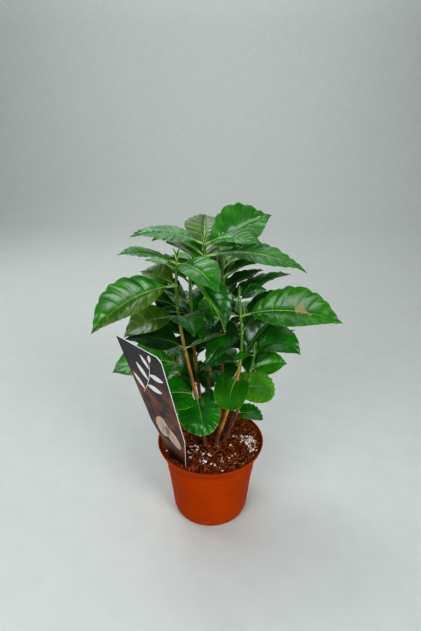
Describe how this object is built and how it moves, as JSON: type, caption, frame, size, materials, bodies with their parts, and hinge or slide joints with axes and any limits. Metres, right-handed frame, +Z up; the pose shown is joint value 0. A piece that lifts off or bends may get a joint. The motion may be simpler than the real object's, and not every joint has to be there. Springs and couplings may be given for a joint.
{
  "type": "potted coffee plant",
  "caption": "Young coffee plant for a table or sill: a clump of slim upright stems with opposite glossy leaves, in a round nursery pot of soil with a plain plant card.",
  "frame": {"origin": "centre of the pot's flat underside, on the surface that it stands on", "axes": "+Z up along the stems, -Y to the front, from where the card stands at the left, +X to the right"},
  "size_m": [0.2312, 0.1998, 0.3509],
  "materials": {
    "pot_plastic": "terracotta-coloured moulded polypropylene, satin, with fine turning marks and a little soil dust",
    "potting_mix": "damp fibrous peat and bark mix with white perlite grains",
    "card_print": "stiff printed card with a satin coating, charcoal and warm brown, white at the cut edge",
    "bark": "thin young bark, tan to brown, with fine lengthwise cracks and rings at the joints",
    "shoot_green": "smooth half-woody shoot, yellow-tan low down and green higher up",
    "foliage": "glossy waxy leaf, deep green with a paler midrib and sunken side veins",
    "seed_foliage": "glossy round seed leaf, bright green with veins that fan out from its foot"
  },
  "bodies": {
    "root": {"pot": "pot_plastic", "soil": "potting_mix", "card": "card_print", "stem_left": "bark", "seed_leaves_left": "seed_foliage", "shoot_left": "shoot_green", "foliage_left": "foliage", "stem_middle": "bark", "seed_leaves_middle": "seed_foliage", "shoot_middle": "shoot_green", "foliage_middle": "foliage", "stem_right": "bark", "seed_leaves_right": "seed_foliage", "shoot_right": "shoot_green", "foliage_right": "foliage", "stem_back": "bark", "seed_leaves_back": "seed_foliage", "shoot_back": "shoot_green", "foliage_back": "foliage", "stem_back_left": "bark", "seed_leaves_back_left": "seed_foliage", "shoot_back_left": "shoot_green", "foliage_back_left": "foliage", "stem_far_left": "bark", "seed_leaves_far_left": "seed_foliage", "shoot_far_left": "shoot_green", "foliage_far_left": "foliage", "stem_far_right": "bark", "seed_leaves_far_right": "seed_foliage", "shoot_far_right": "shoot_green", "foliage_far_right": "foliage", "stem_back_right": "bark", "seed_leaves_back_right": "seed_foliage", "shoot_back_right": "shoot_green", "foliage_back_right": "foliage"}
  },
  "joints": []
}
